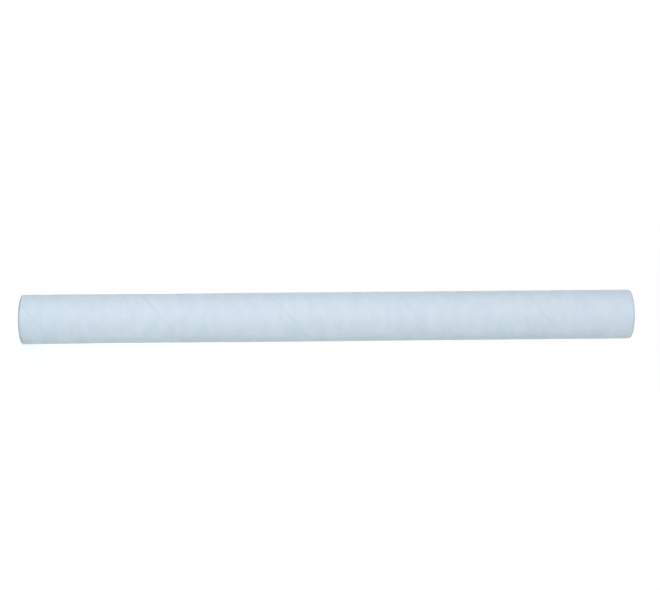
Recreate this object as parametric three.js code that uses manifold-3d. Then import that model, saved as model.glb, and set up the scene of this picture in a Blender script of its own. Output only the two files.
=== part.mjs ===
// A mailing tube: a spiral-wound white paper tube, closed by a moulded plastic plug in each end.
// Millimetres, +Z up. It stands on its bottom plug, and the origin is the centre of the ring
// that it stands on. +Z runs along the tube to its top end.
import * as THREE from "three";
import { mergeVertices } from "three/addons/utils/BufferGeometryUtils.js";
import Module from "manifold-3d";

// Paper tube
const tubeLength = 650;
const boreDiameter = 50;
const tubeWall = 1.5;
const cutEdgeBevel = 0.2; // left round both faces of each end by the knife that cuts the tube

// The outer ply is a strip of paper wound edge to edge, and its edges leave a helical seam
const plyWidth = 105;
const plyThickness = 0.25; // how deep the seam is
const seamGap = 0.4;
const seamStart = 14.4; // from the tube's lower end to the seam, on the -Y side

// End plugs, each moulded in one piece: a flange, a skirt with sealing beads, and a floor
const flangeThickness = 1.5;
const flangeInset = 0.3; // how far the flange stays inside the tube's outer face
const flangeEdgeRadius = 0.65;
const seatGap = 0.1; // between the flange and the tube's cut end
const skirtLength = 15;
const skirtWall = 1.1;
const skirtClearance = 0.35; // between the bore and the skirt, at the flange
const skirtDraft = 0.25; // how much narrower the skirt's radius is at its inner end
const leadIn = 1.2; // bevel at the skirt's inner end, which finds the bore
const beadCount = 3;
const beadClearance = 0.1; // between the bore and the crest of a bead
const beadLength = 1.8;
const beadSpacing = 3.6;
const firstBead = 2.6; // from the flange to the middle of the first bead
const floorThickness = 1.1;
const floorFillet = 1.6;
const mouthRadius = 0.45; // round where the recess meets the flange's face
const gateRadius = 2.2; // raised mark at the floor's centre, where the plastic entered the mould
const gateHeight = 0.35;

// Facets
const roundSegments = 56; // round the axis, the same on every piece
const arcSegments = 3;
const beadSegments = 4;

// Worked out from the sizes above
const boreRadius = boreDiameter / 2;
const tubeRadius = boreRadius + tubeWall;
const tubeBottom = flangeThickness + seatGap;
const totalHeight = tubeLength + 2 * tubeBottom;
const circumference = 2 * Math.PI * tubeRadius;
// A strip narrower than the circumference closes edge to edge at one rise only
const seamPitch = (plyWidth * circumference) / Math.sqrt(circumference ** 2 - plyWidth ** 2);

const whitePaper = new THREE.MeshStandardMaterial({ color: 0xe4eaf0, roughness: 0.8, metalness: 0 });
const whitePlastic = new THREE.MeshStandardMaterial({ color: 0xeef1f2, roughness: 0.42, metalness: 0 });

// A solid of revolution about Z. The profile lists [radius, height] with the material on its
// left, and it starts and ends on the axis or closes on itself.
function turned(profile) {
  const points = profile.map(([radius, height]) => new THREE.Vector2(radius, height));
  return new THREE.LatheGeometry(points, roundSegments).rotateX(Math.PI / 2);
}

// Points of an arc in a profile, both ends included, with angles in degrees.
function arc(centreRadius, centreHeight, size, from, to, segments = arcSegments) {
  return Array.from({ length: segments + 1 }, (_, i) => {
    const angle = THREE.MathUtils.degToRad(from + ((to - from) * i) / segments);
    return [centreRadius + size * Math.cos(angle), centreHeight + size * Math.sin(angle)];
  });
}

const wasm = await Module();
wasm.setup();

function toSolid(geometry) {
  const bare = geometry.clone();
  bare.deleteAttribute("normal");
  bare.deleteAttribute("uv");
  const merged = mergeVertices(bare, 1e-4);
  return new wasm.Manifold(
    new wasm.Mesh({
      numProp: 3,
      vertProperties: merged.attributes.position.array,
      triVerts: new Uint32Array(merged.index.array),
    }),
  );
}

function toGeometry(solid) {
  const mesh = solid.getMesh();
  const geometry = new THREE.BufferGeometry();
  geometry.setAttribute("position", new THREE.BufferAttribute(mesh.vertProperties, 3));
  geometry.setIndex(new THREE.BufferAttribute(mesh.triVerts, 1));
  geometry.computeVertexNormals();
  return geometry;
}

// A ring with square-cut ends, whose four edges are bevelled by the knife.
function tubeBlank() {
  return turned([
    [tubeRadius - cutEdgeBevel, 0],
    [tubeRadius, cutEdgeBevel],
    [tubeRadius, tubeLength - cutEdgeBevel],
    [tubeRadius - cutEdgeBevel, tubeLength],
    [boreRadius + cutEdgeBevel, tubeLength],
    [boreRadius, tubeLength - cutEdgeBevel],
    [boreRadius, cutEdgeBevel],
    [boreRadius + cutEdgeBevel, 0],
    [tubeRadius - cutEdgeBevel, 0],
  ]);
}

// The space between the ply's edges: a rectangular section, which reaches as far out of the paper
// as into it, swept along the seam's helix from one turn below the tube to one turn above it. It
// turns with the same steps as the tube.
function seamCutter() {
  const slant = Math.atan2(circumference, seamPitch);
  const halfGap = seamGap / Math.sin(slant) / 2; // measured along the axis
  const [inner, outer] = [tubeRadius - plyThickness, tubeRadius + plyThickness];
  const section = [
    [inner, -halfGap],
    [outer, -halfGap],
    [outer, halfGap],
    [inner, halfGap],
  ];
  const firstStep = -roundSegments * Math.ceil(seamStart / seamPitch + 1);
  const lastStep = roundSegments * Math.ceil((tubeLength - seamStart) / seamPitch + 1);
  const vertices = [];
  const faces = [];
  for (let step = firstStep; step <= lastStep; step++) {
    const angle = (2 * Math.PI * step) / roundSegments;
    const rise = seamStart + (seamPitch * step) / roundSegments;
    for (const [radius, height] of section)
      vertices.push(radius * Math.sin(angle), -radius * Math.cos(angle), rise + height);
  }
  for (let step = 0; step < lastStep - firstStep; step++)
    for (let side = 0; side < 4; side++) {
      const here = 4 * step + side;
      const beside = 4 * step + ((side + 1) % 4);
      faces.push(here, beside + 4, beside, here, here + 4, beside + 4);
    }
  const end = 4 * (lastStep - firstStep);
  faces.push(0, 1, 2, 0, 2, 3, end, end + 2, end + 1, end, end + 3, end + 2);
  const cutter = new THREE.BufferGeometry();
  cutter.setAttribute("position", new THREE.Float32BufferAttribute(vertices, 3));
  cutter.setIndex(faces);
  return cutter;
}

function woundTube() {
  return toGeometry(toSolid(tubeBlank()).subtract(toSolid(seamCutter())));
}

// One plug, with its flange's outer face at height 0 and its skirt pointing up.
function plug() {
  const skirtTop = flangeThickness + skirtLength;
  const skirtRadius = (height) =>
    boreRadius - skirtClearance - (skirtDraft * (height - flangeThickness)) / skirtLength;
  const recessRadius = (height) => skirtRadius(height) - skirtWall;
  const floorFace = skirtTop - floorThickness;
  const flangeRadius = tubeRadius - flangeInset;
  const crest = boreRadius - beadClearance;

  const gate = [
    [0, floorFace - gateHeight],
    [gateRadius - gateHeight, floorFace - gateHeight],
    [gateRadius, floorFace],
  ];
  const filletHeight = floorFace - floorFillet;
  const recess = arc(recessRadius(floorFace) - floorFillet, filletHeight, floorFillet, 90, 0);
  const mouth = arc(recessRadius(mouthRadius) + mouthRadius, mouthRadius, mouthRadius, 180, 270);
  const flangeEdge = [
    ...arc(flangeRadius - flangeEdgeRadius, flangeEdgeRadius, flangeEdgeRadius, -90, 0),
    [flangeRadius, flangeThickness],
  ];
  // Each bead is a shallow hump, whose feet lie on the skirt and whose crest nears the bore
  const beads = Array.from({ length: beadCount }, (_, bead) => {
    const foot = flangeThickness + firstBead + bead * beadSpacing - beadLength / 2;
    return Array.from({ length: beadSegments + 1 }, (_, i) => {
      const height = foot + (beadLength * i) / beadSegments;
      const skirt = skirtRadius(height);
      return [skirt + (crest - skirt) * Math.sin((Math.PI * i) / beadSegments), height];
    });
  }).flat();
  return turned([
    ...gate,
    ...recess,
    ...mouth,
    ...flangeEdge,
    [skirtRadius(flangeThickness), flangeThickness],
    ...beads,
    [skirtRadius(skirtTop - leadIn), skirtTop - leadIn],
    [skirtRadius(skirtTop) - leadIn / 2, skirtTop],
    [0, skirtTop],
  ]);
}

function piece(name, geometry, material, height) {
  const mesh = new THREE.Mesh(geometry, material);
  mesh.name = name;
  mesh.position.z = height;
  return mesh;
}

const tube = piece("tube", woundTube(), whitePaper, tubeBottom);
const bottomPlug = piece("bottom_cap", plug(), whitePlastic, 0);
const topPlug = piece("top_cap", plug(), whitePlastic, totalHeight);
topPlug.rotation.x = Math.PI;

const mailingTube = new THREE.Group();
mailingTube.add(bottomPlug, tube, topPlug);

export default mailingTube;
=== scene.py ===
"""Looks of a white spiral-wound paper mailing tube with a moulded plastic plug in each end.

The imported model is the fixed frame, in metres, +Z up, and every piece takes its place from it.
The paper tube and both plugs are surfaces worked out with numpy, and their finishes are made of
shader nodes. The tube stands on its bottom plug. The camera is turned a quarter turn, so that
the tube lies across the picture, with its bottom plug on the left.
"""

import logging
import math
from dataclasses import dataclass
from enum import Enum
from typing import Any, Callable, Mapping, Sequence

import bmesh
import bpy
import numpy as np
from mathutils import Matrix, Vector

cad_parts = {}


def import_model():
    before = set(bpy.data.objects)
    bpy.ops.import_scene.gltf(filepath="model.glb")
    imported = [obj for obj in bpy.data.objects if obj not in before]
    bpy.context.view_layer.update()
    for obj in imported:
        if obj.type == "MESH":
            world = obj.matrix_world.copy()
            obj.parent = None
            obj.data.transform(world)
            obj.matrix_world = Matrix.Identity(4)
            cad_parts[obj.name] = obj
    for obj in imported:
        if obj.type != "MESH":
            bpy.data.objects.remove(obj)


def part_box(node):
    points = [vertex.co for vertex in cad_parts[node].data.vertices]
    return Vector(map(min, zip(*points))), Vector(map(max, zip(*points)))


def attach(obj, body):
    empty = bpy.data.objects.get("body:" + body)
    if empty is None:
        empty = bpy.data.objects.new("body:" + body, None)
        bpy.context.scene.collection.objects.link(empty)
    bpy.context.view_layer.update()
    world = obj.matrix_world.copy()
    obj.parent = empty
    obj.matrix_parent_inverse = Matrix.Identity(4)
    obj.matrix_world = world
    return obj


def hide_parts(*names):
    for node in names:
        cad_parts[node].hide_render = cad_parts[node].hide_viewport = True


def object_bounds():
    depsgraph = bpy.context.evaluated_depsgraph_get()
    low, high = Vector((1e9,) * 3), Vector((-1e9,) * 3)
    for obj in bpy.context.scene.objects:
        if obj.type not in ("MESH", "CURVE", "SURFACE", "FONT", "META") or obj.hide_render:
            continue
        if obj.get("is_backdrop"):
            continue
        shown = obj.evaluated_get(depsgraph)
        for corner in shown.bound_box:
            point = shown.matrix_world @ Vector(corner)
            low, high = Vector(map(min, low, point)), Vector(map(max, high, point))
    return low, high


LOG = logging.getLogger("mailing_tube")
MM = 0.001
SEAT_GAP = 0.1 * MM  # between a plug's flange and the tube's cut end
WELD = 0.002 * MM  # vertices nearer than this become one

Number = int | float
Colour = tuple[float, float, float]


class Slot(Enum):
    """The record's material slots."""

    PAPER = "white_paper"
    PLASTIC = "white_plastic"


class TubeZone(Enum):
    """Parts of the paper tube's surface with a finish of their own, in the order of its material slots."""

    LINER = 0
    BOARD = 1
    CUT_END = 2
    SEAM = 3


# Meshes worked out as whole arrays


@dataclass
class Patch:
    """A grid of points with a material for each row of its quads.

    Attributes:
        points: positions in metres, as an array of rows by columns by 3.
        row_zones: the material index of each strip between two rows, or one index for all.
    """

    points: np.ndarray
    row_zones: np.ndarray | int = 0

    def quads(self) -> np.ndarray:
        """Corner indices of each quad: (row, column), (row, next), (next row, next), (next row, column)."""
        rows, columns = self.points.shape[:2]
        index = np.arange(rows * columns).reshape(rows, columns)
        corners = (index[:-1, :-1], index[:-1, 1:], index[1:, 1:], index[1:, :-1])
        return np.stack(corners, axis=-1).reshape(-1, 4)

    def zones(self) -> np.ndarray:
        """The material index of each quad, in the order of quads()."""
        rows, columns = self.points.shape[:2]
        per_row = np.broadcast_to(np.asarray(self.row_zones), (rows - 1,))
        return np.repeat(per_row, columns - 1)


def make_piece(name: str, patches: Sequence[Patch]) -> bpy.types.Object:
    """Joins patches into one closed, smooth mesh object at the origin. Welding also closes poles.

    Args:
        name: the piece's name.
        patches: grids whose borders meet.

    Returns:
        The new object, linked to the scene.
    """
    points, quads, zones, first = [], [], [], 0
    for patch in patches:
        points.append(patch.points.reshape(-1, 3))
        quads.append(patch.quads() + first)
        zones.append(patch.zones())
        first += len(points[-1])
    mesh = bpy.data.meshes.new(name)
    mesh.from_pydata(np.concatenate(points).tolist(), [], np.concatenate(quads).tolist())
    mesh.polygons.foreach_set("material_index", np.concatenate(zones).astype(np.int32))

    shape = bmesh.new()
    shape.from_mesh(mesh)
    bmesh.ops.remove_doubles(shape, verts=shape.verts, dist=WELD)
    bmesh.ops.dissolve_degenerate(shape, edges=shape.edges, dist=WELD)
    open_edges = sum(not edge.is_manifold for edge in shape.edges)
    bmesh.ops.recalc_face_normals(shape, faces=shape.faces)
    volume = shape.calc_volume(signed=True)
    if volume < 0:
        bmesh.ops.reverse_faces(shape, faces=shape.faces)
    shape.to_mesh(mesh)
    shape.free()

    mesh.polygons.foreach_set("use_smooth", np.ones(len(mesh.polygons), bool))
    mesh.update()
    piece = bpy.data.objects.new(name, mesh)
    bpy.context.scene.collection.objects.link(piece)
    LOG.info(
        "%s: %d faces, %d open edges, %.1f cm3", name, len(mesh.polygons), open_edges, abs(volume) * 1e6
    )
    return piece


def round_the_axis(radius: np.ndarray, height: np.ndarray, angle: np.ndarray) -> np.ndarray:
    """Points at (radius sin angle, -radius cos angle, height): angle 0 is -Y, and +X comes next.

    Args:
        radius: distance from the Z axis.
        height: height above the origin.
        angle: radians round the axis. The three arrays broadcast together.

    Returns:
        An array with a last axis of 3.
    """
    radius, height, angle = np.broadcast_arrays(radius, height, angle)
    return np.stack((radius * np.sin(angle), -radius * np.cos(angle), height), axis=-1)


def full_turn(columns: int) -> np.ndarray:
    """Angles of a closed turn in equal steps, with both ends given."""
    return np.linspace(0.0, 2 * np.pi, columns + 1)


def arc(centre: tuple[float, float], size: float, start: float, end: float, steps: int) -> np.ndarray:
    """A circular arc in a profile.

    Args:
        centre: radius and height of the arc's centre.
        size: the arc's own radius.
        start: first angle in degrees, from the outward direction towards +Z.
        end: last angle in degrees.
        steps: number of chords.

    Returns:
        Rows of (radius, height).
    """
    angle = np.radians(np.linspace(start, end, steps + 1))
    return np.column_stack((centre[0] + size * np.cos(angle), centre[1] + size * np.sin(angle)))


def straight(start: Sequence[float], end: Sequence[float], inner: int = 3) -> np.ndarray:
    """A straight stretch of a profile, with a row close to each end so that shading stays flat between.

    Args:
        start: radius and height of the first point.
        end: radius and height of the last point.
        inner: number of even steps between the two close rows.

    Returns:
        Rows of (radius, height).
    """
    close = 0.04  # share of the stretch between an end and the row beside it
    share = np.concatenate(([0.0], np.linspace(close, 1 - close, inner + 1), [1.0]))[:, None]
    return np.asarray(start) * (1 - share) + np.asarray(end) * share


# Shader nodes, written as expressions


class Wire:
    """A shader value. The operators on it add Math nodes to its node tree."""

    def __init__(self, nodes: "NodeSheet", socket: bpy.types.NodeSocket | None) -> None:
        """Wraps an output socket of the node tree that nodes stands for, or nothing."""
        self.nodes = nodes
        self.socket = socket

    def maths(self, operation: str, *values: "Wire | Number") -> "Wire":
        """A Math node of the given operation on the given values."""
        return self.nodes.add("ShaderNodeMath", {"operation": operation}, dict(enumerate(values)))

    def __add__(self, other: "Wire | Number") -> "Wire":
        """self + other."""
        return self.maths("ADD", self, other)

    __radd__ = __add__

    def __sub__(self, other: "Wire | Number") -> "Wire":
        """self - other."""
        return self.maths("SUBTRACT", self, other)

    def __rsub__(self, other: "Wire | Number") -> "Wire":
        """other - self."""
        return self.maths("SUBTRACT", other, self)

    def __mul__(self, other: "Wire | Number") -> "Wire":
        """self * other."""
        return self.maths("MULTIPLY", self, other)

    __rmul__ = __mul__

    def __truediv__(self, other: "Wire | Number") -> "Wire":
        """self / other."""
        return self.maths("DIVIDE", self, other)

    def __pow__(self, other: "Wire | Number") -> "Wire":
        """self ** other."""
        return self.maths("POWER", self, other)

    def __neg__(self) -> "Wire":
        """0 - self."""
        return self.maths("SUBTRACT", 0.0, self)

    def most(self, other: "Wire | Number") -> "Wire":
        """The larger of the two."""
        return self.maths("MAXIMUM", self, other)

    def ramp(self, low: float, high: float) -> "Wire":
        """0 below low, 1 above high, and smooth between; low above high turns it round."""
        settings = {"interpolation_type": "SMOOTHSTEP"}
        edges = {"Value": self, "From Min": min(low, high), "From Max": max(low, high)}
        risen = self.nodes.add("ShaderNodeMapRange", settings, edges)
        return risen if low < high else 1.0 - risen


class NodeSheet:
    """The node tree of one material or world, with one method that adds any node."""

    def __init__(self, tree: bpy.types.NodeTree) -> None:
        """Starts an empty tree."""
        self.tree = tree
        tree.nodes.clear()

    def add(
        self,
        kind: str,
        settings: Mapping[str, Any] | None = None,
        values: Mapping[str | int, Any] | None = None,
        output: str | int = 0,
    ) -> Wire:
        """Adds a node, sets it up and feeds its sockets.

        Args:
            kind: the node's type, such as "ShaderNodeMath".
            settings: attributes of the node, set before its sockets.
            values: a value, colour or Wire for each input, by name or place.
            output: the output to return, by name or place.

        Returns:
            The chosen output, or an empty Wire for a node that has none.
        """
        node = self.tree.nodes.new(kind)
        for key, value in (settings or {}).items():
            setattr(node, key, value)
        for key, value in (values or {}).items():
            if isinstance(value, Wire):
                self.tree.links.new(value.socket, node.inputs[key])
            else:
                node.inputs[key].default_value = value
        return Wire(self, node.outputs[output]) if node.outputs else Wire(self, None)

    def split(self, vector: Wire) -> tuple[Wire, Wire, Wire]:
        """The X, Y and Z of a vector, as values."""
        node = self.tree.nodes.new("ShaderNodeSeparateXYZ")
        self.tree.links.new(vector.socket, node.inputs[0])
        x, y, z = (Wire(self, socket) for socket in node.outputs)
        return x, y, z

    def vector(self, x: Wire | Number, y: Wire | Number, z: Wire | Number) -> Wire:
        """A vector from three values."""
        return self.add("ShaderNodeCombineXYZ", None, {0: x, 1: y, 2: z})

    def noise(self, place: Wire, scale: float, detail: float = 3.0, rough: float = 0.5) -> Wire:
        """Fractal noise from 0 to 1, with its mean at 0.5 and `scale` lumps to a metre."""
        values = {"Vector": place, "Scale": scale, "Detail": detail, "Roughness": rough}
        return self.add("ShaderNodeTexNoise", {"noise_dimensions": "3D"}, values, "Fac")

    def mix(self, share: Wire, first: Wire | Colour, second: Wire | Colour) -> Wire:
        """A colour between first, at share 0, and second, at share 1."""
        ends = {6: first, 7: second}
        values = {k: v if isinstance(v, Wire) else (*v, 1.0) for k, v in ends.items()}
        return self.add("ShaderNodeMix", {"data_type": "RGBA"}, {0: share, **values}, 2)

    def bump(self, height: Wire, depth: float, strength: float = 1.0) -> Wire:
        """A normal from a height of 0 to 1, where 1 stands `depth` metres proud."""
        values = {"Height": height, "Distance": depth, "Strength": strength}
        return self.add("ShaderNodeBump", None, values)


def new_material(name: str, dress: Callable[[NodeSheet], Wire]) -> bpy.types.Material:
    """A material whose surface is what `dress` returns.

    Args:
        name: the material's name.
        dress: fills the node tree and returns the shader.

    Returns:
        The new material.
    """
    material = bpy.data.materials.new(name)
    material.use_nodes = True
    nodes = NodeSheet(material.node_tree)
    nodes.add("ShaderNodeOutputMaterial", None, {"Surface": dress(nodes)})
    return material


@dataclass(frozen=True)
class Winding:
    """How the tube's plies lie: strips wound edge to edge at one pitch.

    Attributes:
        radius: of the surface that the seam lies on.
        bottom: height of the tube's lower end.
        ply_width: width of the outer strip.
        seam_start: from the lower end to the outer seam, on the -Y side.
    """

    radius: float
    bottom: float
    ply_width: float = 105 * MM
    seam_start: float = 14.4 * MM

    @property
    def circumference(self) -> float:
        """Length round the outside."""
        return 2 * math.pi * self.radius

    @property
    def pitch(self) -> float:
        """Rise of the seam in one turn: width * c / sqrt(c^2 - width^2), with c the circumference."""
        around = self.circumference
        return self.ply_width * around / math.sqrt(around**2 - self.ply_width**2)

    @property
    def turn_length(self) -> float:
        """Length of strip in one turn."""
        return math.hypot(self.circumference, self.pitch)

    @property
    def across_share(self) -> float:
        """Distance square to the seam for each unit of height: the sine of the seam's angle to Z."""
        return self.circumference / self.turn_length

    def climb(self, height: np.ndarray, angle: np.ndarray, offset: float = 0.0) -> np.ndarray:
        """Turns from the seam up to a point: (height - start) / pitch - angle / 2 pi - offset."""
        start = self.bottom + self.seam_start
        return (height - start) / self.pitch - angle / (2 * np.pi) - offset

    def on_nodes(self, nodes: NodeSheet, offset: float = 0.0) -> tuple[Wire, Wire]:
        """The ply's own coordinates in a shader, without a break except at the seam.

        Args:
            nodes: the tree to add to.
            offset: turns by which the ply's seam lies above the outer ply's seam.

        Returns:
            Metres across the ply from its lower edge, and metres along the strip.
        """
        x, y, z = nodes.split(nodes.add("ShaderNodeTexCoord", output="Object"))
        turn = x.maths("ARCTAN2", x, -y) / (2 * math.pi)
        start = self.bottom + self.seam_start + offset * self.pitch
        climb = (z - start) / self.pitch - turn
        wound = climb.maths("FLOOR", climb)
        return (climb - wound) * self.ply_width, (turn + wound) * self.turn_length


# Finishes


@dataclass(frozen=True)
class LinerPaper:
    """Matte bleached paper of the outer ply, bluish white, cloudy, with fine fibres along the strip.

    Attributes:
        winding: how the ply lies.
        clear: colour between the clouds.
        cloud: colour of the clouds.
        speck: colour of the specks.
        cloud_scale: lumps to a metre, as for the other scales.
        cloud_squeeze: how much shorter a cloud is along the tube than round it.
        strip_stretch: share of the strip's length that the fibres count, which makes them long.
        relief: height of the surface's unevenness.
    """

    winding: Winding
    clear: Colour = (0.708, 0.797, 0.903)
    cloud: Colour = (0.648, 0.749, 0.852)
    speck: Colour = (0.42, 0.47, 0.52)
    roughness: float = 0.60
    specular: float = 0.42
    cloud_scale: float = 40.0
    cloud_squeeze: float = 2.2
    mottle_scale: float = 420.0
    streak_scale: float = 260.0
    fibre_scale: float = 2600.0
    speck_scale: float = 1500.0
    strip_stretch: float = 0.16
    relief: float = 0.12 * MM

    def dress(self, nodes: NodeSheet) -> Wire:
        """Builds the shader: clouds and fibres tint the base colour, and both lift the surface a little."""
        place = nodes.add("ShaderNodeTexCoord", output="Object")
        x, y, z = nodes.split(place)
        drawn_round = nodes.vector(x, y, z * self.cloud_squeeze)
        across, along = self.winding.on_nodes(nodes)
        strip = nodes.vector(across, along * self.strip_stretch, 0.0)
        clouds = nodes.noise(drawn_round, self.cloud_scale, 4.0, 0.6)
        mottle = nodes.noise(place, self.mottle_scale, 3.0, 0.6)
        streaks = nodes.noise(strip, self.streak_scale, 3.0, 0.5)
        fibres = nodes.noise(strip, self.fibre_scale, 2.0, 0.6)
        formation = (clouds * 0.65 + mottle * 0.15 + streaks * 0.20).ramp(0.34, 0.66)
        colour = nodes.mix(formation, self.clear, self.cloud)
        specks = nodes.noise(place, self.speck_scale, 1.0, 0.4).ramp(0.74, 0.80)
        colour = nodes.mix(specks * 0.16, colour, self.speck)
        height = clouds * 0.35 + streaks * 0.3 + mottle * 0.15 + fibres * 0.2
        return nodes.add(
            "ShaderNodeBsdfPrincipled",
            None,
            {
                "Base Color": colour,
                "Roughness": self.roughness + (formation - 0.5) * 0.08 + (fibres - 0.5) * 0.1,
                "Normal": nodes.bump(height, self.relief, 0.5),
                "Specular IOR Level": self.specular,
            },
        )


@dataclass(frozen=True)
class GreyBoard:
    """Recycled board of the inner plies, with loose fibres and flecks.

    Attributes:
        pale: colour between the clouds.
        dark: colour of the clouds.
        fleck: colour of the flecks.
        cloud_scale: lumps to a metre, as for the other scales.
        relief: height of the loose fibres.
    """

    pale: Colour = (0.560, 0.570, 0.575)
    dark: Colour = (0.465, 0.472, 0.478)
    fleck: Colour = (0.260, 0.264, 0.268)
    roughness: float = 0.86
    specular: float = 0.25
    cloud_scale: float = 110.0
    fibre_scale: float = 1900.0
    fleck_scale: float = 900.0
    relief: float = 0.10 * MM

    def board_colour(self, nodes: NodeSheet, place: Wire) -> tuple[Wire, Wire]:
        """The mottled colour of the board, and its fibre height."""
        clouds = nodes.noise(place, self.cloud_scale, 4.0, 0.6)
        fibres = nodes.noise(place, self.fibre_scale, 3.0, 0.65)
        colour = nodes.mix((clouds * 0.6 + fibres * 0.4).ramp(0.36, 0.64), self.pale, self.dark)
        flecks = nodes.noise(place, self.fleck_scale, 1.0, 0.5).ramp(0.68, 0.74)
        return nodes.mix(flecks * 0.5, colour, self.fleck), clouds * 0.4 + fibres * 0.6

    def dress(self, nodes: NodeSheet) -> Wire:
        """Builds the shader of a plain board surface."""
        place = nodes.add("ShaderNodeTexCoord", output="Object")
        colour, height = self.board_colour(nodes, place)
        return self.surface(nodes, colour, nodes.bump(height, self.relief, 0.6))

    def surface(self, nodes: NodeSheet, colour: Wire, normal: Wire) -> Wire:
        """The dull, open surface that every board face shares."""
        return nodes.add(
            "ShaderNodeBsdfPrincipled",
            None,
            {
                "Base Color": colour,
                "Roughness": self.roughness,
                "Normal": normal,
                "Specular IOR Level": self.specular,
            },
        )


@dataclass(frozen=True)
class CutPlies(GreyBoard):
    """The tube's cut end, where the glued plies show as rings.

    Attributes:
        bore: the tube's bore radius.
        plies: thickness of each ply from the bore outwards; the last is bleached paper.
        bleached: colour of the bleached ply's edge.
        glue_line: half the width of the dark line at each joint of two plies.
        cut_relief: height of the fibres that the knife leaves.
    """

    bore: float = 25 * MM
    plies: tuple[float, ...] = ()
    bleached: Colour = (0.690, 0.745, 0.800)
    glue_line: float = 0.05 * MM
    cut_relief: float = 0.14 * MM

    def dress(self, nodes: NodeSheet) -> Wire:
        """Builds the shader: board inside a pale liner, with a dark glue line at each joint."""
        place = nodes.add("ShaderNodeTexCoord", output="Object")
        x, y, _ = nodes.split(place)
        radius = (x * x + y * y) ** 0.5
        colour, height = self.board_colour(nodes, place)
        joints = self.bore + np.cumsum(self.plies)
        colour = nodes.mix(radius.ramp(joints[-2] - self.glue_line, joints[-2]), colour, self.bleached)
        for joint in joints[:-1]:
            apart = x.maths("ABSOLUTE", radius - float(joint))
            line = apart.ramp(self.glue_line, 0.0)
            colour = nodes.mix(line * 0.55, colour, self.fleck)
        return self.surface(nodes, colour, nodes.bump(height, self.cut_relief, 0.7))


@dataclass(frozen=True)
class MouldedPolythene:
    """White moulded polythene with a waxy, slightly uneven sheen and fine marks drawn along the skirt. Its
    colours are set greyer than the plastic's own white: part of that grey is painted shade, standing for
    the dark shaded line at each flange's rim.

    Attributes:
        colour: colour of most of the plastic, a greyish white, partly the plastic's own tone and partly
            painted shade for the dark line at the flange's rim.
        shade: colour of its flow clouds, darkened along with colour by the same painted shade.
        flow_scale: lumps to a metre, as for the other scales.
        draw_stretch: share of the height that the drawn marks count, which makes them long.
        relief: height of the grain.
    """

    # Greyer than white polythene: part of this grey is painted shade for the dark line at each flange's
    # rim.
    colour: Colour = (0.600, 0.665, 0.725)
    shade: Colour = (0.560, 0.627, 0.690)
    roughness: float = 0.38
    specular: float = 0.35
    flow_scale: float = 90.0
    grain_scale: float = 3200.0
    drawn_scale: float = 1400.0
    draw_stretch: float = 0.05
    relief: float = 0.05 * MM

    def dress(self, nodes: NodeSheet) -> Wire:
        """Builds the shader: flow clouds in the colour and gloss, with a fine moulded grain."""
        place = nodes.add("ShaderNodeTexCoord", output="Object")
        flow = nodes.noise(place, self.flow_scale, 3.0, 0.5)
        grain = nodes.noise(place, self.grain_scale, 2.0, 0.5)
        x, y, z = nodes.split(place)
        drawn = nodes.noise(nodes.vector(x, y, z * self.draw_stretch), self.drawn_scale, 2.0, 0.5)
        colour = nodes.mix(flow.ramp(0.35, 0.65), self.colour, self.shade)
        roughness = self.roughness + (flow - 0.5) * 0.14 + (drawn - 0.5) * 0.12
        height = flow * 0.3 + grain * 0.35 + drawn * 0.35
        return nodes.add(
            "ShaderNodeBsdfPrincipled",
            None,
            {
                "Base Color": colour,
                "Roughness": roughness,
                "Normal": nodes.bump(height, self.relief, 0.5),
                "Specular IOR Level": self.specular,
            },
        )


# Sub-assemblies


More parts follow.
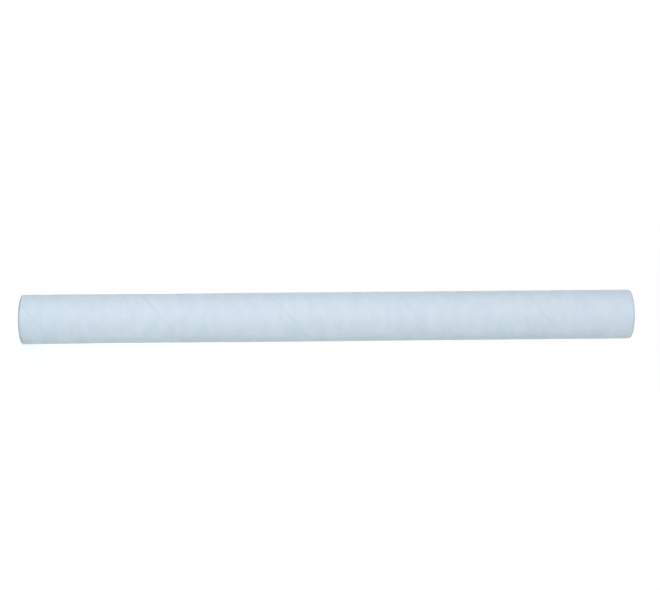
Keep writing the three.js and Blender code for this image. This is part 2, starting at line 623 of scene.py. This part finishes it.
@dataclass(frozen=True)
class PaperTube:
    """The spiral-wound tube, as one closed surface with its seams, faint ply marks and layered cut ends.

    Attributes:
        winding: how the outer ply lies.
        bottom: height of the lower cut end.
        top: height of the upper cut end.
        radius: outside radius.
        plies: thickness of each ply from the bore outwards.
        cut_bevel: bevel that the knife leaves on the edges of a cut end.
        seam_gap: between the edges of the outer ply.
        seam_shoulder: width of the worn edge on either side of that gap.
        bore_seam_offset: turns by which the innermost ply's seam lies above the outer one.
        under_seams: the same for the seams that only show as faint dips.
        lean: how far the ply's lower edge lies in, over lean_fade.
        unevenness: a quarter of the deepest slow wave of the whole tube.
        cushion: how far a ply's cut sinks at the joint with the next one.
        face_wave: height of the slow wave round a cut face.
        end_margin: from a bevel to the first row of the wound surface.
        columns: steps round the axis.
    """

    winding: Winding
    bottom: float
    top: float
    radius: float
    plies: tuple[float, ...] = (0.25 * MM, 0.35 * MM, 0.35 * MM, 0.3 * MM, 0.25 * MM)
    cut_bevel: float = 0.2 * MM
    seam_gap: float = 0.4 * MM
    seam_shoulder: float = 0.2 * MM
    bore_seam_offset: float = 0.43
    under_seams: tuple[float, ...] = (0.31, 0.66)
    under_seam_depth: float = 0.035 * MM
    under_seam_width: float = 1.3 * MM
    lean: float = 0.04 * MM
    lean_fade: float = 2.5 * MM
    unevenness: float = 0.012 * MM
    cushion: float = 0.04 * MM
    face_wave: float = 0.015 * MM
    end_margin: float = 0.4 * MM
    columns: int = 240

    @property
    def bore(self) -> float:
        """The bore's radius: the outside less every ply."""
        return self.radius - sum(self.plies)

    def square_distance(self, height: np.ndarray, angle: np.ndarray, offset: float) -> np.ndarray:
        """Signed metres square to the nearest seam that lies `offset` turns above the outer ply's seam."""
        climb = self.winding.climb(height, angle, offset)
        return (climb - np.round(climb)) * self.winding.pitch * self.winding.across_share

    def outer_radius(self, height: np.ndarray, angle: np.ndarray) -> np.ndarray:
        """The outer ply's radius.

        It is the full radius, less the seam's gap (a step with a rounded shoulder at each ply edge),
        less a lean of the ply's lower edge that fades away from it, less a shallow bell-shaped dip
        over each seam of the plies beneath, less a slow unevenness.
        """
        away = self.square_distance(height, angle, 0.0)
        side = np.abs(away)
        half = self.seam_gap / 2
        edges = [half * 0.9, half, half + self.seam_shoulder * 0.35, half + self.seam_shoulder]
        gap = self.plies[-1] * np.interp(side, edges, [1.0, 0.25, 0.06, 0.0])
        lean = self.lean * np.where(away > 0, np.exp(-side / self.lean_fade), 0.0)
        dips = sum(
            np.exp(-((self.square_distance(height, angle, offset) / self.under_seam_width) ** 2))
            for offset in self.under_seams
        )
        slow = 2 + np.sin(2 * angle + 9.0 * height) + np.sin(3 * angle - 23.0 * height + 1.3)
        return self.radius - gap - lean - self.under_seam_depth * dips - self.unevenness * slow

    def bore_radius(self, height: np.ndarray, angle: np.ndarray) -> np.ndarray:
        """The bore's radius, plus a narrow gap at the innermost ply's own seam."""
        side = np.abs(self.square_distance(height, angle, self.bore_seam_offset))
        half = self.seam_gap / 2
        depths = [0.6 * self.plies[0], 0.02 * MM, 0.0]
        return self.bore + np.interp(side, [half * 0.9, half, half * 1.6], depths)

    def helical_rows(self, marks: Sequence[tuple[float, Sequence[float]]], even: int) -> np.ndarray:
        """Heights of grid rows that follow the winding, above the seam at angle 0.

        Args:
            marks: for each helical line, its offset in turns and the distances square to it, in
                metres, that get a row on either side.
            even: number of evenly spaced rows in one pitch.

        Returns:
            Heights over the whole tube and one turn more at each end, in rising order.
        """
        pitch = self.winding.pitch
        rows = [np.arange(even) / even * pitch]
        for offset, distances in marks:
            aside = np.asarray(distances) / self.winding.across_share
            rows.append(offset * pitch + np.concatenate((-aside, aside)))
        one_pitch = np.unique(np.round(np.concatenate(rows) % pitch, 9))
        first = math.floor(-self.winding.seam_start / pitch) - 1
        last = math.ceil((self.top - self.bottom) / pitch) + 1
        turns = np.arange(first, last) * pitch
        return (turns[:, None] + one_pitch).ravel()

    def wound_patch(
        self, rows: np.ndarray, radius_at: Callable[[np.ndarray, np.ndarray], np.ndarray]
    ) -> tuple[np.ndarray, np.ndarray, np.ndarray]:
        """A grid on the tube whose rows climb with the winding and stop short of both cut ends.

        The point (row, angle) is at height start + row + pitch * angle / 2 pi, held between the
        two ends less their margins, and at the radius that radius_at gives there.

        Args:
            rows: heights of the rows at angle 0, above the seam.
            radius_at: radius as a function of height and angle.

        Returns:
            The points, and the height and the angle of each.
        """
        angle = full_turn(self.columns)[None, :]
        start = self.bottom + self.winding.seam_start
        climbing = start + rows[:, None] + self.winding.pitch * angle / (2 * np.pi)
        margin = self.cut_bevel + self.end_margin
        height = np.clip(climbing, self.bottom + margin, self.top - margin)
        angle = np.broadcast_to(angle, height.shape)
        return round_the_axis(radius_at(height, angle), height, angle), height, angle

    def end_patches(self, end: float, inward: float) -> list[Patch]:
        """The bevels and the cut face of one end, from the outer ply round to the bore.

        Each ply's cut is a low cushion that sinks at the joint with the next one, and a slow wave
        runs round the whole face.

        Args:
            end: height of the cut face.
            inward: 1 where the tube lies above the face, -1 where it lies below.

        Returns:
            The patches of the outer ply's edge, of the face and of the bore's edge.
        """
        angle = full_turn(self.columns)[None, :]
        margin = self.cut_bevel + self.end_margin

        def rows_between(radius_at: Callable, bevelled: float, outer: bool) -> np.ndarray:
            """The side's last rows and the bevel's edge, which has the radius `bevelled`."""
            heights = np.array([margin, self.cut_bevel + 0.08 * MM, self.cut_bevel])[:, None]
            real = end + inward * heights
            side = round_the_axis(radius_at(end + inward * margin, angle), real, angle)
            edge = round_the_axis(np.full((1, 1), bevelled), end, angle)
            ring = np.concatenate((side, edge))
            return ring if outer else ring[::-1]

        face_outer = self.radius - self.cut_bevel
        face_inner = self.bore + self.cut_bevel
        joints = self.bore + np.cumsum(self.plies)[:-1]
        borders = np.concatenate(([face_inner], joints, [face_outer]))[::-1]
        share = np.array([0.0, 0.12, 0.5, 0.88])
        radii = (borders[:-1, None] + (borders[1:] - borders[:-1])[:, None] * share).ravel()
        sunk = np.tile([1.0, 0.25, 0.0, 0.25], len(borders) - 1)
        sunk[0] = 0.0
        radii = np.append(radii, face_inner)[:, None]
        sunk = np.append(sunk, 0.0)[:, None]
        wave = (1 + np.sin(5 * angle + 700.0 * radii)) / 2
        inside = (radii < face_outer) & (radii > face_inner)
        depth = self.cushion * sunk + self.face_wave * wave * inside
        face = round_the_axis(radii, end + inward * depth, angle)
        return [
            Patch(rows_between(self.outer_radius, face_outer, True), TubeZone.LINER.value),
            Patch(face, TubeZone.CUT_END.value),
            Patch(rows_between(self.bore_radius, face_inner, False), TubeZone.BOARD.value),
        ]

    def build(self) -> bpy.types.Object:
        """Makes the tube's mesh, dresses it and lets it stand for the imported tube.

        Returns:
            The finished piece.
        """
        half = self.seam_gap / 2
        worn = [half + share * self.seam_shoulder for share in (0.35, 1.0, 1.6)]
        seam = [0.0, half * 0.9, half, *worn, self.lean_fade]
        dip = [0.0, 0.7 * MM, 1.4 * MM, 2.6 * MM]
        rows = self.helical_rows([(0.0, seam), *((offset, dip) for offset in self.under_seams)], 12)
        outer, height, angle = self.wound_patch(rows, self.outer_radius)
        middle = (rows[:-1] + rows[1:]) / 2
        pitch = self.winding.pitch
        from_seam = np.abs(middle - pitch * np.round(middle / pitch)) * self.winding.across_share
        zones = np.where(from_seam < half * 0.95, TubeZone.SEAM.value, TubeZone.LINER.value)

        bore_seam = [0.0, half * 0.9, half, half * 1.6, half * 2.4]
        bore_rows = self.helical_rows([(self.bore_seam_offset, bore_seam)], 8)
        inner, _, _ = self.wound_patch(bore_rows, self.bore_radius)
        patches = [Patch(outer, zones), Patch(inner[::-1], TubeZone.BOARD.value)]
        patches += self.end_patches(self.bottom, 1.0) + self.end_patches(self.top, -1.0)
        piece = make_piece("paper_tube", patches)

        finishes = {
            "liner_paper": LinerPaper(self.winding),
            "grey_board": GreyBoard(),
            "cut_plies": CutPlies(bore=self.bore, plies=self.plies),
            "second_ply": GreyBoard(pale=(0.615, 0.685, 0.770), dark=(0.550, 0.615, 0.695)),
        }
        for name, finish in finishes.items():
            piece.data.materials.append(new_material(name, finish.dress))
        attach(piece, "tube")
        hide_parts("tube")
        return piece


@dataclass(frozen=True)
class EndPlug:
    """A moulded push-in plug: a flange on the tube's end, a skirt with sealing beads and a floor.

    Attributes:
        node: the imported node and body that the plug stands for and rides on.
        face: height of the flange's outer face.
        inward: 1 where the skirt points up into the tube, -1 where it points down.
        flange_radius: outside radius of the flange.
        flange: thickness of the flange.
        depth: from the flange's outer face to the skirt's inner end.
        bore: the tube's bore radius.
        flange_round: round of the flange's outer edge.
        seat_round: round of the flange's edge next to the tube.
        root_round: round between the flange and the skirt.
        skirt_clearance: between the bore and the skirt, at the flange.
        skirt_draft: how much narrower the skirt's radius is at its inner end.
        lead_in: height of the bevel at the skirt's inner end.
        bead_clearance: between the bore and the crest of a bead.
        first_bead: from the flange to the middle of the first bead.
        floor: thickness of the floor.
        mouth_round: round where the recess meets the flange's face.
        gate: radius of the raised mark at the floor's centre, where the plastic entered the mould.
        gate_foot: breadth of the soft foot round that mark.
        ejectors: number of round marks that the mould's pins leave inside.
        ejector_ring: radius of the circle that the marks lie on.
        ejector: radius of a mark.
        ejector_slope: breadth of the step round a mark.
    """

    node: str
    face: float
    inward: float
    flange_radius: float
    flange: float
    depth: float
    bore: float
    flange_round: float = 0.65 * MM
    seat_round: float = 0.6 * MM
    root_round: float = 0.15 * MM
    skirt_wall: float = 1.1 * MM
    skirt_clearance: float = 0.35 * MM
    skirt_draft: float = 0.25 * MM
    lead_in: float = 1.2 * MM
    beads: int = 3
    bead_clearance: float = 0.1 * MM
    bead_length: float = 1.8 * MM
    bead_spacing: float = 3.6 * MM
    first_bead: float = 2.6 * MM
    floor: float = 1.1 * MM
    floor_fillet: float = 1.6 * MM
    mouth_round: float = 0.45 * MM
    gate: float = 2.2 * MM
    gate_height: float = 0.35 * MM
    gate_round: float = 0.16 * MM
    gate_foot: float = 0.2 * MM
    ejectors: int = 4
    ejector_ring: float = 15 * MM
    ejector: float = 2.6 * MM
    ejector_depth: float = 0.09 * MM
    ejector_slope: float = 0.7 * MM
    columns: int = 200

    def skirt_radius(self, height: float | np.ndarray) -> float | np.ndarray:
        """The skirt's outside radius at a height above the flange's face. It narrows evenly."""
        share = (height - self.flange) / (self.depth - self.flange)
        return self.bore - self.skirt_clearance - self.skirt_draft * share

    def plain_skirt(self, low: float, high: float, inner: int) -> np.ndarray:
        """The skirt's plain outside between two heights, with the steps of straight()."""
        return straight((self.skirt_radius(low), low), (self.skirt_radius(high), high), inner)

    def skirt_profile(self) -> np.ndarray:
        """The skirt's outside from the flange to its inner end.

        Each bead is half a sine wave on the skirt, with its crest near the bore.
        """
        stretches = []
        here = self.flange + self.root_round
        for bead in range(self.beads):
            foot = self.flange + self.first_bead + bead * self.bead_spacing - self.bead_length / 2
            stretches.append(self.plain_skirt(here, foot, 1))
            wave = np.linspace(0.0, 1.0, 15)
            height = foot + self.bead_length * wave
            skirt = self.skirt_radius(height)
            rise = (self.bore - self.bead_clearance - skirt) * np.sin(np.pi * wave) ** 1.3
            stretches.append(np.column_stack((skirt + rise, height)))
            here = foot + self.bead_length
        bevel = self.depth - self.lead_in
        tip = self.skirt_radius(self.depth) - self.lead_in / 2
        stretches.append(self.plain_skirt(here, bevel, 1))
        stretches.append(straight((self.skirt_radius(bevel), bevel), (tip, self.depth), 2))
        return np.concatenate(stretches)

    def profile(self) -> np.ndarray:
        """The plug's section, from the axis in the recess round the flange and back to the axis inside.

        Returns:
            Rows of (radius, height above the flange's face).
        """
        floor = self.depth - self.floor
        wall = self.skirt_radius(floor) - self.skirt_wall
        mouth = self.skirt_radius(self.mouth_round) - self.skirt_wall
        rim = self.flange_radius - self.flange_round
        gate_top = floor - self.gate_height
        gate_rim = self.gate - self.gate_height - self.gate_round
        gate_end = self.gate + self.gate_foot
        root = self.skirt_radius(self.flange) + self.root_round
        inner_end = self.skirt_radius(self.depth) - self.lead_in / 2
        seat = self.flange_radius - self.seat_round
        return np.concatenate(
            [
                straight((0.0, gate_top), (gate_rim, gate_top), 2),
                arc((gate_rim, gate_top + self.gate_round), self.gate_round, -90, -35, 4),
                straight((self.gate - 0.05 * MM, floor - 0.02 * MM), (gate_end, floor), 1),
                straight((gate_end, floor), (wall - self.floor_fillet, floor), 10),
                arc((wall - self.floor_fillet, floor - self.floor_fillet), self.floor_fillet, 90, 0, 12),
                straight((wall, floor - self.floor_fillet), (mouth, self.mouth_round), 4),
                arc((mouth + self.mouth_round, self.mouth_round), self.mouth_round, 180, 270, 8),
                straight((mouth + self.mouth_round, 0.0), (rim, 0.0), 3),
                arc((rim, self.flange_round), self.flange_round, -90, 0, 10),
                arc((seat, self.flange - self.seat_round), self.seat_round, 0, 90, 8),
                straight((seat, self.flange), (root, self.flange), 2),
                arc((root, self.flange + self.root_round), self.root_round, 270, 180, 4),
                self.skirt_profile(),
                straight((inner_end, self.depth), (0.0, self.depth), 22),
            ]
        )

    def build(self) -> bpy.types.Object:
        """Makes the plug's mesh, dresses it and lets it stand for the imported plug.

        The profile is carried round the axis, and the ejector pins' round marks sink the inside of
        the floor by the depth times a smooth step of the distance to each pin's centre.

        Returns:
            The finished piece.
        """
        radius, height = self.profile().T[..., None]
        angle = full_turn(self.columns)[None, :]
        local = round_the_axis(radius, np.broadcast_to(height, (len(radius), 1)), angle)
        pins = full_turn(self.ejectors)[:-1] + np.pi / self.ejectors
        centres = round_the_axis(np.full_like(pins, self.ejector_ring), np.zeros_like(pins), pins)
        gaps = np.linalg.norm(local[..., None, :2] - centres[:, :2], axis=-1).min(axis=-1)
        step = np.clip((self.ejector - gaps) / self.ejector_slope + 0.5, 0.0, 1.0)
        on_floor = np.isclose(local[..., 2], self.depth)
        local[..., 2] -= np.where(on_floor, self.ejector_depth * step * step * (3 - 2 * step), 0.0)
        if self.inward < 0:
            local[..., 1] *= -1
        local[..., 2] = self.face + self.inward * local[..., 2]
        piece = make_piece(f"{self.node}_moulding", [Patch(local)])
        # The plug's greyish colour holds painted shade for the dark line at its flange's rim.
        piece.data.materials.append(new_material(f"polythene_{self.node}", MouldedPolythene().dress))
        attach(piece, self.node)
        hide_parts(self.node)
        return piece


# Stage, light and camera


@dataclass(frozen=True)
class Softbox:
    """A large soft lamp that faces the middle of the object.

    Attributes:
        name: the lamp's name.
        side: angle round the Z axis in degrees, from the camera's side, -Y, towards +X.
        rise: how steeply it stands above the object's middle: metres up for each metre sideways.
        level: brightness of a white surface facing it, where 1 is white.
        colour: the light's colour.
        size: its breadth and its length, in metres.
        distance: from the object's middle, in metres.
    """

    name: str
    side: float
    rise: float
    level: float
    colour: Colour
    size: tuple[float, float] = (1.0, 1.5)
    distance: float = 1.55


@dataclass(frozen=True)
class Studio:
    """A white floor that keeps the object's shadow, white surroundings and large soft lamps.

    Attributes:
        level: how bright the surroundings light the object, where 1 shows a colour as written.
        sky: the colour of that light.
        floor_lift: light that the floor gives to the camera alone, which brings it up to white,
            near the object, where the lamps light the floor too, and far from it.
        lift_reach: distances from the object between which the lift rises.
        floor_size: length of the floor's side.
        lamps: a key lamp beside the camera, a greenish fill on the +X side, a lamp behind and one above.
    """

    level: float = 0.355
    sky: Colour = (0.95, 1.0, 1.03)
    floor_lift: tuple[float, float] = (0.36, 0.76)
    lift_reach: tuple[float, float] = (0.1, 1.5)
    floor_size: float = 8.0
    floor_colour: Colour = (0.90, 0.91, 0.92)
    lamps: tuple[Softbox, ...] = (
        Softbox("key", -19.0, -0.14, 0.59, (1.0, 1.0, 0.965), (1.1, 0.5)),
        Softbox("fill", 96.0, 0.0, 0.235, (0.86, 1.0, 0.70)),
        Softbox("back", -172.0, 0.1, 0.46, (1.0, 1.0, 1.0)),
        Softbox("top", -10.0, 9.0, 0.42, (1.0, 1.0, 1.0), (0.8, 0.8)),
    )

    @staticmethod
    def seen_directly(nodes: NodeSheet) -> Wire:
        """1 for camera, glossy and transmission rays, and 0 for the rays that light a surface."""
        camera = nodes.add("ShaderNodeLightPath", output="Is Camera Ray")
        glossy = nodes.add("ShaderNodeLightPath", output="Is Glossy Ray")
        through = nodes.add("ShaderNodeLightPath", output="Is Transmission Ray")
        return camera.most(glossy).most(through)

    def dress_floor(self, nodes: NodeSheet) -> Wire:
        """Builds the floor's shader: a pale matte surface, plus a white lift that only direct looks see."""
        matte = nodes.add(
            "ShaderNodeBsdfDiffuse", None, {"Color": (*self.floor_colour, 1.0), "Roughness": 0.6}
        )
        x, y, _ = nodes.split(nodes.add("ShaderNodeTexCoord", output="Object"))
        near, far = self.floor_lift
        strength = ((x * x + y * y) ** 0.5).ramp(*self.lift_reach) * (far - near) + near
        lift = nodes.add(
            "ShaderNodeEmission",
            None,
            {"Color": (1.0, 1.0, 1.0, 1.0), "Strength": self.seen_directly(nodes) * strength},
        )
        return nodes.add("ShaderNodeAddShader", None, {0: matte, 1: lift})

    def build_floor(self, height: float) -> None:
        """Adds the floor at a height, as part of the stage."""
        half = self.floor_size / 2
        side = np.linspace(-half, half, 5)
        x, y = np.meshgrid(side, side)
        points = np.stack((x, y, np.full_like(x, height)), axis=-1)
        mesh = bpy.data.meshes.new("studio_floor")
        mesh.from_pydata(points.reshape(-1, 3).tolist(), [], Patch(points).quads().tolist())
        floor = bpy.data.objects.new("studio_floor", mesh)
        bpy.context.scene.collection.objects.link(floor)
        mesh.materials.append(new_material("white_floor", self.dress_floor))
        floor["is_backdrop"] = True

    def build_world(self) -> None:
        """White surroundings: strength 1 where they are seen, and the plain level where they light."""
        world = bpy.data.worlds.new("white_studio")
        world.use_nodes = True
        nodes = NodeSheet(world.node_tree)
        seen = self.seen_directly(nodes)
        strength = seen * (1.0 - self.level) + self.level
        tint = nodes.mix(seen, self.sky, (1.0, 1.0, 1.0))
        background = nodes.add("ShaderNodeBackground", None, {"Color": tint, "Strength": strength})
        nodes.add("ShaderNodeOutputWorld", None, {"Surface": background})
        bpy.context.scene.world = world

    @staticmethod
    def add_lamp(softbox: Softbox, aim: Vector) -> None:
        """Adds an area lamp that lights a surface facing it at its stated level.

        Args:
            softbox: the lamp's place, size and light.
            aim: the point that it faces.
        """
        side = math.radians(softbox.side)
        away = Vector((math.sin(side), -math.cos(side), softbox.rise)).normalized()
        lamp = bpy.data.lights.new(softbox.name, "AREA")
        lamp.shape = "RECTANGLE"
        lamp.size, lamp.size_y = softbox.size
        lamp.energy = softbox.level * (math.pi * softbox.distance) ** 2
        lamp.color = softbox.colour
        holder = bpy.data.objects.new(softbox.name, lamp)
        sideways = Vector((0, 0, 1)).cross(away).normalized()
        upright = away.cross(sideways)
        turn = Matrix((sideways, upright, away)).transposed()
        holder.matrix_world = Matrix.Translation(aim + away * softbox.distance) @ turn.to_4x4()
        holder.visible_camera = False
        bpy.context.scene.collection.objects.link(holder)

    def build(self, low: Vector, high: Vector) -> None:
        """Builds the whole stage round the object's box."""
        middle = (low + high) / 2
        self.build_floor(low.z - 0.05 * MM)
        self.build_world()
        for lamp in self.lamps:
            self.add_lamp(lamp, middle)


@dataclass(frozen=True)
class PhotoCamera:
    """The photograph's view: from the -Y side, turned so that the tube lies across the picture.

    Attributes:
        distance: from the camera to the tube's axis.
        focal_pixels: focal length in pixels of the picture.
        picture: width and height of the picture in pixels.
        tube_centre: where the middle of the tube lies in the picture, in pixels.
        slope: how much the tube rises to the right in the picture, in degrees.
        swing: how much nearer the left end is, as an angle in degrees.
        sensor: width of the camera's sensor in millimetres.
    """

    distance: float = 1.419
    focal_pixels: float = 1317.0
    picture: tuple[int, int] = (660, 590)
    tube_centre: tuple[float, float] = (327.7, 316.7)
    slope: float = 0.5
    swing: float = 1.5
    sensor: float = 36.0

    def build(self, low: Vector, high: Vector) -> bpy.types.Object:
        """Adds the camera and makes it the scene's own.

        Args:
            low: the object's lowest corner.
            high: the object's highest corner.

        Returns:
            The camera.
        """
        middle = (low + high) / 2
        swing, slope = math.radians(self.swing), math.radians(self.slope)
        forward = Vector((0.0, math.cos(swing), math.sin(swing)))
        level_up = Vector((-1.0, 0.0, 0.0))
        level_right = forward.cross(level_up)
        right = level_right * math.cos(slope) - level_up * math.sin(slope)
        up = level_up * math.cos(slope) + level_right * math.sin(slope)
        pixel = self.distance / self.focal_pixels
        aside = (self.tube_centre[0] - self.picture[0] / 2) * pixel
        above = (self.picture[1] / 2 - self.tube_centre[1]) * pixel
        place = middle - forward * self.distance - right * aside - up * above

        data = bpy.data.cameras.new("photo_camera")
        data.sensor_fit = "HORIZONTAL"
        data.sensor_width = self.sensor
        data.lens = self.focal_pixels / self.picture[0] * self.sensor
        data.clip_start, data.clip_end = 0.01, 50.0
        camera = bpy.data.objects.new("photo_camera", data)
        turn = Matrix((right, up, -forward)).transposed()
        camera.matrix_world = Matrix.Translation(place) @ turn.to_4x4()
        bpy.context.scene.collection.objects.link(camera)
        bpy.context.scene.camera = camera
        return camera


def build_tube() -> PaperTube:
    """Builds the paper tube from its packed box and returns its sizes."""
    low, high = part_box("tube")
    radius = (high.x - low.x) / 2
    tube = PaperTube(Winding(radius, low.z), low.z, high.z, radius)
    piece = tube.build()
    LOG.info("built %s, seam pitch %.1f mm", piece.name, tube.winding.pitch / MM)
    return tube


def build_plug(node: str, tube: PaperTube, inward: float) -> None:
    """Builds one end plug from its packed box, with its flange seated on the tube's end.

    Args:
        node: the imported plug's node.
        tube: the tube that it closes.
        inward: 1 for the bottom plug, -1 for the top plug.
    """
    low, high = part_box(node)
    face, tube_end = (low.z, tube.bottom) if inward > 0 else (high.z, tube.top)
    flange = abs(tube_end - face) - SEAT_GAP
    piece = EndPlug(node, face, inward, (high.x - low.x) / 2, flange, high.z - low.z, tube.bore).build()
    LOG.info("built %s", piece.name)


def main() -> None:
    """Loads the frame, builds every piece, the stage and the camera."""
    logging.basicConfig(level=logging.INFO, format="%(name)s: %(message)s")
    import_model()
    cad_low, cad_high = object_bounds()
    bpy.context.scene.view_settings.view_transform = "Standard"
    PhotoCamera().build(cad_low, cad_high)
    tube = build_tube()
    build_plug("bottom_cap", tube, 1.0)
    build_plug("top_cap", tube, -1.0)
    Studio().build(cad_low, cad_high)


if __name__ == "__main__":
    main()
